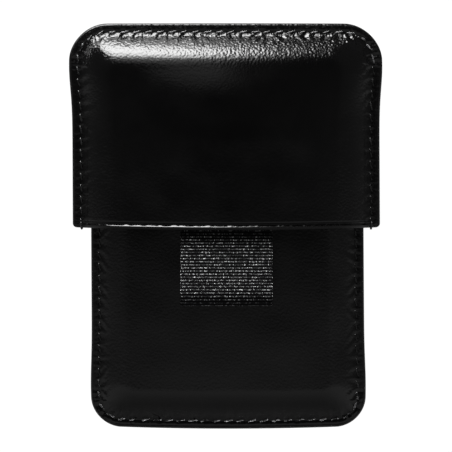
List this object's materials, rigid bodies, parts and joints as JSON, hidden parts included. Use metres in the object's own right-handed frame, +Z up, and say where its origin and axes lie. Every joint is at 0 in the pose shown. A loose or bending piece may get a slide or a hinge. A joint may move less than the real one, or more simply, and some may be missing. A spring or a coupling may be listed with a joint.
{
  "type": "telescoping leather case",
  "caption": "Slim soft leather case in two stitched halves: a cap slides over an open pouch, with a folded ribbon pull loop below the cap's edge.",
  "frame": {"origin": "on the table, under the middle of the case as it lies on its back with the cap closed", "axes": "+Z up, from the back of the case to its front; +Y towards the cap's closed end; +X to the right seen from the front"},
  "size_m": [0.0846, 0.111, 0.0214],
  "materials": {
    "calf_leather": "smooth black calf, glazed",
    "stiffening_board": "matte",
    "lining_cloth": "fine woven, matte",
    "seam_thread": "waxed twisted thread",
    "ribbon": "ribbed grosgrain with a slight glint"
  },
  "bodies": {
    "pouch": {"pouch_front_leather": "calf_leather", "pouch_front_stiffener": "stiffening_board", "pouch_front_lining": "lining_cloth", "pouch_back_leather": "calf_leather", "pouch_back_stiffener": "stiffening_board", "pouch_back_lining": "lining_cloth", "pouch_needle_thread": "seam_thread", "pouch_bobbin_thread": "seam_thread", "ribbon_root": "ribbon", "ribbon_root_stitches": "seam_thread"},
    "cap": {"cap_front_leather": "calf_leather", "cap_front_stiffener": "stiffening_board", "cap_front_lining": "lining_cloth", "cap_back_leather": "calf_leather", "cap_back_stiffener": "stiffening_board", "cap_back_lining": "lining_cloth", "cap_needle_thread": "seam_thread", "cap_bobbin_thread": "seam_thread"},
    "ribbon_loop": {"ribbon_loop": "ribbon"}
  },
  "joints": [
    {"name": "cap_slide", "type": "slide", "parent": "pouch", "child": "cap", "axis": [0, 1, 0], "range_m": [0, 0.055]},
    {"name": "ribbon_loop_flex", "type": "hinge", "parent": "pouch", "child": "ribbon_loop", "pos_m": [0, -0.0024, 0.0155], "axis": [-1, 0, 0], "range_deg": [-13, 75], "stiffness_Nm_per_rad": 0.002}
  ]
}
